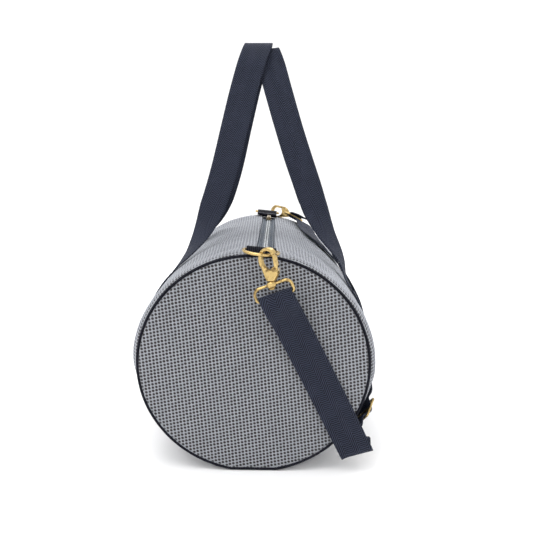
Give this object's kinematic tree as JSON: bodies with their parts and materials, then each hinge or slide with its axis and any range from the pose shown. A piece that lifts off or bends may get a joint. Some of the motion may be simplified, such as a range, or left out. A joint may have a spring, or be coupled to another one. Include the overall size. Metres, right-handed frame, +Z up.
{
  "type": "barrel carry sack",
  "caption": "Round barrel-shaped cloth sack with a zip along its top, webbing carry handles, brass rings and a clip-on shoulder strap.",
  "frame": {"origin": "middle of the flat patch on which the barrel rests, at floor level", "axes": "+Z up towards the zip, +Y along the barrel from the clip end to the far end, +X to the right seen from the clip end"},
  "size_m": [0.296, 0.5, 0.5134],
  "materials": {
    "mesh_cloth": "grey spacer mesh with a small dark dot pattern, matte",
    "webbing": "navy herringbone webbing, slight sheen",
    "piping": "dark navy woven piping",
    "zip_tape": "slate woven zip tape",
    "zip_coil": "grey nylon coil",
    "brass": "polished antique brass with worn edges",
    "spring": "drawn spring wire"
  },
  "bodies": {
    "root": {"body_panel": "mesh_cloth", "front_end_panel": "mesh_cloth", "rear_end_panel": "mesh_cloth", "front_piping": "piping", "rear_piping": "piping", "left_zip_tape": "zip_tape", "right_zip_tape": "zip_tape", "left_zip_coil": "zip_coil", "right_zip_coil": "zip_coil", "front_zip_stop": "brass", "rear_zip_stop": "brass", "front_ring_tab": "webbing", "rear_ring_tab": "webbing", "left_handle_front_end": "webbing", "left_handle_rear_end": "webbing", "right_handle_front_end": "webbing", "right_handle_rear_end": "webbing", "front_hook_bail": "brass", "rear_hook_bail": "brass", "shoulder_strap": "webbing", "strap_adjuster": "brass"},
    "left_handle": {"left_handle": "webbing"},
    "right_handle": {"right_handle": "webbing"},
    "zip_slider": {"zip_slider": "brass"},
    "zip_pull": {"zip_pull": "brass"},
    "front_ring": {"front_d_ring": "brass"},
    "rear_ring": {"rear_d_ring": "brass"},
    "front_hook": {"front_hook": "brass", "front_gate_pin": "brass", "front_gate_spring": "spring"},
    "rear_hook": {"rear_hook": "brass", "rear_gate_pin": "brass", "rear_gate_spring": "spring"},
    "front_gate": {"front_hook_gate": "brass"},
    "rear_gate": {"rear_hook_gate": "brass"}
  },
  "joints": [
    {"name": "left_handle_fold", "type": "hinge", "parent": "root", "child": "left_handle", "pos_m": [-0.1086, 0, 0.21384], "axis": [0, -1, 0], "range_deg": [0, 140]},
    {"name": "right_handle_fold", "type": "hinge", "parent": "root", "child": "right_handle", "pos_m": [0.12369, 0, 0.19227], "axis": [0, 1, 0], "range_deg": [0, 140]},
    {"name": "zip_slide", "type": "slide", "parent": "root", "child": "zip_slider", "axis": [0, -1, 0], "range_m": [0, 0.342]},
    {"name": "zip_pull_flip", "type": "hinge", "parent": "zip_slider", "child": "zip_pull", "pos_m": [0.01293, 0.171, 0.2568], "axis": [0.9954, 0, -0.0958], "range_deg": [0, 150]},
    {"name": "front_ring_swing", "type": "hinge", "parent": "root", "child": "front_ring", "pos_m": [0.00937, -0.2232, 0.26133], "axis": [0.9954, 0, -0.0958], "range_deg": [-1, 12]},
    {"name": "rear_ring_swing", "type": "hinge", "parent": "root", "child": "rear_ring", "pos_m": [0.00937, 0.2232, 0.26133], "axis": [-0.9954, 0, 0.0958], "range_deg": [-4, 10]},
    {"name": "front_hook_swivel", "type": "hinge", "parent": "root", "child": "front_hook", "pos_m": [0.02097, -0.24431, 0.22762], "axis": [-0.122, 0, 0.9925], "range_deg": [-40, 0]},
    {"name": "rear_hook_swivel", "type": "hinge", "parent": "root", "child": "rear_hook", "pos_m": [0.04905, 0.21466, 0.2569], "axis": [-0.7677, 0.6098, 0.1969], "range_deg": [-3, 15]},
    {"name": "front_gate_push", "type": "hinge", "parent": "front_hook", "child": "front_gate", "pos_m": [0.02684, -0.24886, 0.24446], "axis": [0.4961, 0.8661, 0.061], "range_deg": [-18, 0], "stiffness_Nm_per_rad": 0.02},
    {"name": "rear_gate_push", "type": "hinge", "parent": "rear_hook", "child": "rear_gate", "pos_m": [0.03952, 0.22509, 0.2687], "axis": [0.5659, 0.7888, -0.2399], "range_deg": [-18, 0], "stiffness_Nm_per_rad": 0.02}
  ]
}
